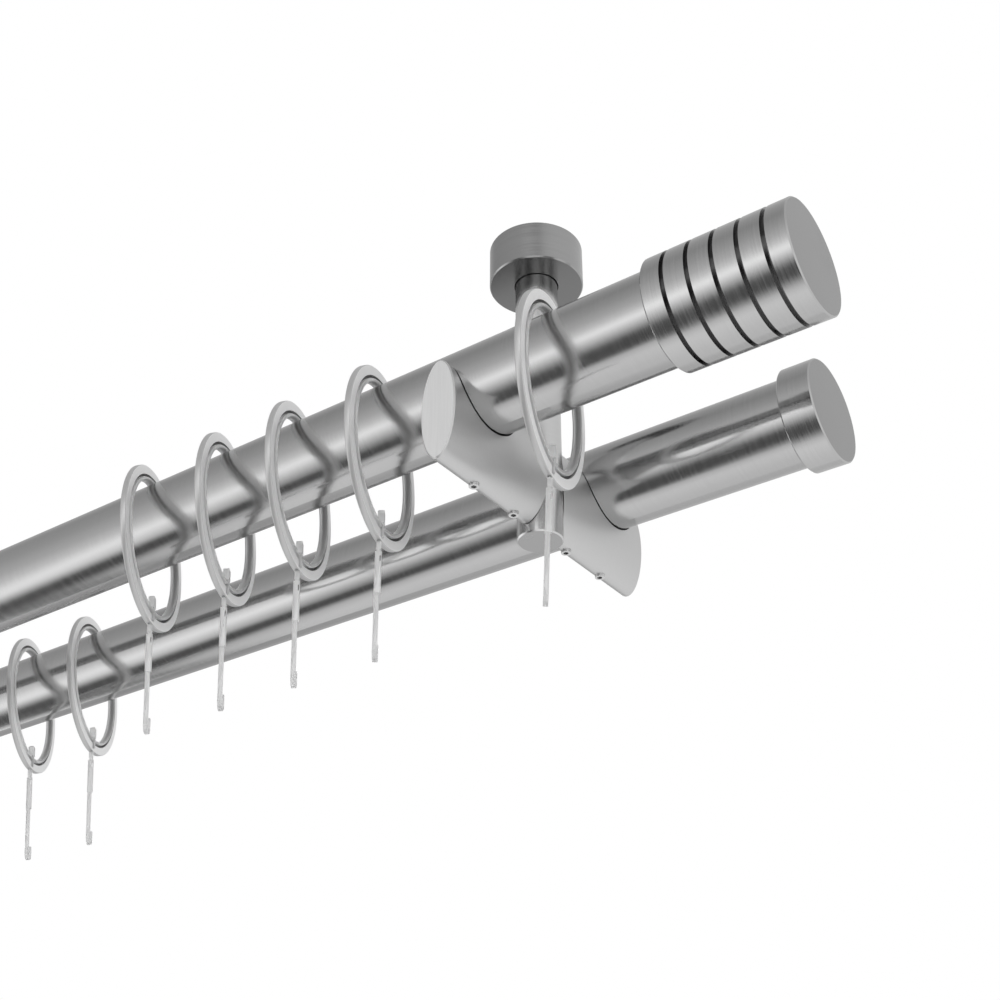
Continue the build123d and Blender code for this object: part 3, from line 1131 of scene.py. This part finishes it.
@dataclass
class RingRow(SubAssembly):
    """The rings of one pole, each with its liner and hook."""

    shapes: dict[str, bpy.types.Object]
    row: str = "front"
    count: int = 7
    # A hook hangs loose in its slot. It turns about its neck to face one way, as far as it can.
    hook_turn: float = math.radians(35.3)
    hook_play: float = math.radians(20.0)
    neck_x: float = 0.22

    def place_of(self, ring: bpy.types.Object) -> Matrix:
        """Finds where a ring hangs and how it is turned.

        Args:
            ring: The ring's CAD node, whose two flat faces are its largest.

        Returns:
            The move from a ring about the X axis at the origin to this ring's place.
        """
        areas: dict[tuple[float, ...], float] = {}
        for face in ring.data.polygons:
            key = tuple(round(c, 3) for c in face.normal)
            areas[key] = areas.get(key, 0.0) + face.area
        axis = Vector(max(areas, key=areas.get)).normalized()
        if axis.x < 0:
            axis.negate()
        side = Vector((0, 0, 1)).cross(axis).normalized()
        up = axis.cross(side)
        low, high = (Vector(corner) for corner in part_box(ring.name))
        turn = Matrix((axis, side, up)).transposed().to_4x4()
        return Matrix.Translation((low + high) / 2) @ turn

    def swing(self, place: Matrix) -> Matrix:
        """Turns a hook about its own neck.

        Args:
            place: Where its ring hangs.

        Returns:
            The turn, in the ring's own frame.
        """
        turn = math.atan2(place[1][0], place[0][0])
        swing = max(-self.hook_play, min(self.hook_play, self.hook_turn - turn))
        neck = Matrix.Translation((self.neck_x * MM, 0, 0))
        return neck @ Matrix.Rotation(swing, 4, "Z") @ neck.inverted()

    def build(self) -> None:
        """Puts a ring, a liner and a hook in place of each of the plain ones."""
        for number in range(1, self.count + 1):
            place = self.place_of(self.nodes[f"ring_{self.row}_{number}"])
            for kind, shape in self.shapes.items():
                node = f"{kind}_{self.row}_{number}"
                self.dress(node, KINDS[kind][0])
                piece = shape.copy()
                piece.data = shape.data.copy()
                if kind == "curtain_hook":
                    piece.data.transform(place @ self.swing(place))
                else:
                    piece.data.transform(place)
                piece.name = f"{node}_fine"
                bpy.context.scene.collection.objects.link(piece)
                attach(piece, f"{self.row}_ring_{number}")
                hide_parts(node)
                LOG.info("placed %s", piece.name)


@dataclass(frozen=True)
class Panel:
    """One soft box: a flat rectangular lamp that points at the object."""

    name: str
    place: tuple[float, float, float]
    target: tuple[float, float, float]
    width: float
    height: float
    power: float


@dataclass
class Studio:
    """Floor, backdrop, lamps, world and camera."""

    camera_place: Vector = field(default_factory=lambda: Vector((200.3, -303.4, -314.8)) * MM)
    camera_turn: tuple[float, float, float] = (math.pi / 2 + 0.540, -0.001, 0.616)
    lens: float = 50.46
    floor_depth: float = -1.25
    # The room is a long tunnel of soft boxes and dark flags. These are its back and up directions,
    # square to its length, and the shade of its walls at each angle up from the front, in degrees.
    room_back: tuple[float, float, float] = (0.709, 0.705, 0.0)
    room_up: tuple[float, float, float] = (-0.319, 0.321, 0.892)
    # Towards its far end, from one share of the way to another, the tunnel twists by this angle.
    room_length: tuple[float, float, float] = (0.629, -0.632, 0.453)
    room_twist: tuple[float, float, float] = (-0.48, -0.95, math.radians(-25))
    room_level: float = 1.75
    room_shades: tuple[tuple[float, float], ...] = (
        (-180, 0.54),
        (-130, 0.58),
        (-85, 0.66),
        (-68, 0.53),
        (-57, 0.07),
        (-44, 0.08),
        (-31, 0.62),
        (-21, 1.0),
        (-9, 0.63),
        (5, 0.45),
        (30, 0.33),
        (58, 0.25),
        (80, 0.30),
        (110, 0.38),
        (150, 0.46),
        (180, 0.54),
    )
    panels: tuple[Panel, ...] = (
        Panel(
            name="key",
            place=(0.5, -1.3, 0.6),
            target=(-0.1, 0.0, -0.08),
            width=0.9,
            height=0.6,
            power=1.5,
        ),
    )

    def build(self) -> None:
        """Sets up all of the studio."""
        self.set_view()
        self.add_world()
        self.add_floor()
        for panel in self.panels:
            self.add_panel(panel)
        self.add_camera()

    def set_view(self) -> None:
        """Colours come out as they are written."""
        bpy.context.scene.view_settings.view_transform = "Standard"

    def add_world(self) -> None:
        """A grey room for what the steel reflects, white for what the camera sees."""
        world = bpy.data.worlds.new("white_studio")
        bpy.context.scene.world = world
        world.use_nodes = True
        tree = world.node_tree
        tree.nodes.clear()
        output = add_node(tree, "ShaderNodeOutputWorld")
        path = add_node(tree, "ShaderNodeLightPath")
        direction = add_node(tree, "ShaderNodeTexCoord").outputs["Generated"]
        across, up, far = (
            add_node(
                tree,
                "ShaderNodeVectorMath",
                {"operation": "DOT_PRODUCT"},
                {0: direction, 1: axis},
            ).outputs["Value"]
            for axis in (self.room_back, self.room_up, self.room_length)
        )
        front = add_node(tree, "ShaderNodeMath", {"operation": "MULTIPLY"}, {0: across, 1: -1.0})
        turn = add_node(
            tree, "ShaderNodeMath", {"operation": "ARCTAN2"}, {0: up, 1: front.outputs[0]}
        )
        near, end, angle = self.room_twist
        twist = add_node(
            tree,
            "ShaderNodeMapRange",
            inputs={"Value": far, "From Min": near, "From Max": end, "To Max": angle},
        )
        twisted = add_node(
            tree, "ShaderNodeMath", {"operation": "ADD"}, {0: turn.outputs[0], 1: twist.outputs[0]}
        )
        share = add_node(
            tree,
            "ShaderNodeMapRange",
            inputs={"Value": twisted.outputs[0], "From Min": -math.pi, "From Max": math.pi},
        )
        ramp = add_node(tree, "ShaderNodeValToRGB", inputs={"Fac": share.outputs[0]})
        stops = ramp.color_ramp.elements
        while len(stops) < len(self.room_shades):
            stops.new(0.5)
        for stop, (angle, shade) in zip(stops, self.room_shades):
            stop.position = (angle + 180) / 360
            stop.color = (shade, shade, shade, 1.0)
        room = add_node(
            tree,
            "ShaderNodeBackground",
            inputs={"Color": ramp.outputs["Color"], "Strength": self.room_level},
        )
        white = add_node(
            tree, "ShaderNodeBackground", inputs={"Color": linear("FFFFFF"), "Strength": 1.0}
        )
        seen = add_node(
            tree,
            "ShaderNodeMath",
            {"operation": "MAXIMUM"},
            {0: path.outputs["Is Camera Ray"], 1: path.outputs["Is Transmission Ray"]},
        )
        mixed = add_node(
            tree,
            "ShaderNodeMixShader",
            inputs={0: seen.outputs[0], 1: room.outputs[0], 2: white.outputs[0]},
        )
        tree.links.new(mixed.outputs[0], output.inputs["Surface"])

    def add_floor(self) -> None:
        """A wide pale floor far below the pole, which keeps the pole's shadow."""
        deselect_all()
        bpy.ops.mesh.primitive_plane_add(size=6.0, location=(0, 0, self.floor_depth))
        floor = bpy.context.object
        floor.name = "studio_floor"
        bpy.ops.object.mode_set(mode="EDIT")
        bpy.ops.mesh.subdivide(number_cuts=4)
        bpy.ops.object.mode_set(mode="OBJECT")
        bpy.ops.object.transform_apply(location=True, rotation=True, scale=True)
        material, tree, output = new_material("pale_studio_floor")
        place = add_node(tree, "ShaderNodeTexCoord").outputs["Object"]
        cloud = add_node(
            tree, "ShaderNodeTexNoise", inputs={"Vector": place, "Scale": 2.0, "Detail": 2.0}
        )
        tone = add_node(
            tree,
            "ShaderNodeMix",
            {"data_type": "RGBA"},
            {0: cloud.outputs["Fac"], 6: linear("F2F2F2"), 7: linear("F8F8F8")},
        )
        shader = add_node(
            tree,
            "ShaderNodeBsdfPrincipled",
            inputs={"Base Color": tone.outputs[2], "Roughness": 0.8},
        )
        # The steel sees the room's own shades below it, and not the floor's lit surface.
        path = add_node(tree, "ShaderNodeLightPath")
        open_air = add_node(tree, "ShaderNodeBsdfTransparent")
        mixed = add_node(
            tree,
            "ShaderNodeMixShader",
            inputs={0: path.outputs["Is Glossy Ray"], 1: shader.outputs[0], 2: open_air.outputs[0]},
        )
        tree.links.new(mixed.outputs[0], output.inputs["Surface"])
        floor.data.materials.append(material)

    def add_panel(self, panel: Panel) -> None:
        """Adds one soft box.

        Args:
            panel: Its size, place, aim and power.
        """
        lamp = bpy.data.lights.new(panel.name, "AREA")
        lamp.shape = "RECTANGLE"
        lamp.size = panel.width
        lamp.size_y = panel.height
        lamp.energy = panel.power
        holder = bpy.data.objects.new(panel.name, lamp)
        bpy.context.scene.collection.objects.link(holder)
        holder.location = panel.place
        aim = Vector(panel.target) - Vector(panel.place)
        holder.rotation_euler = aim.to_track_quat("-Z", "Y").to_euler()

    def add_camera(self) -> None:
        """Puts the camera below the poles, looking up to the right-hand end."""
        lens = bpy.data.cameras.new("camera")
        lens.lens = self.lens
        lens.sensor_width = 36.0
        lens.clip_start = 0.01
        holder = bpy.data.objects.new("camera", lens)
        bpy.context.scene.collection.objects.link(holder)
        holder.location = self.camera_place
        holder.rotation_euler = Euler(self.camera_turn, "XYZ")
        bpy.context.scene.camera = holder


def main() -> None:
    """Builds the dressed curtain pole."""
    logging.basicConfig(level=logging.INFO, format="%(message)s")
    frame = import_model()
    finishes = Finishes()
    Studio().build()
    Poles(frame["nodes"], finishes).build()
    for side in ("right", "left"):
        Bracket(frame["nodes"], finishes, side).build()
    maker = RingShapes(finishes)
    shapes = {"ring": maker.ring(), "ring_liner": maker.liner(), "curtain_hook": maker.hook()}
    RingRow(frame["nodes"], finishes, shapes, "front", 7).build()
    RingRow(frame["nodes"], finishes, shapes, "back", 4).build()
    for shape in shapes.values():
        bpy.data.objects.remove(shape)


if __name__ == "__main__":
    main()
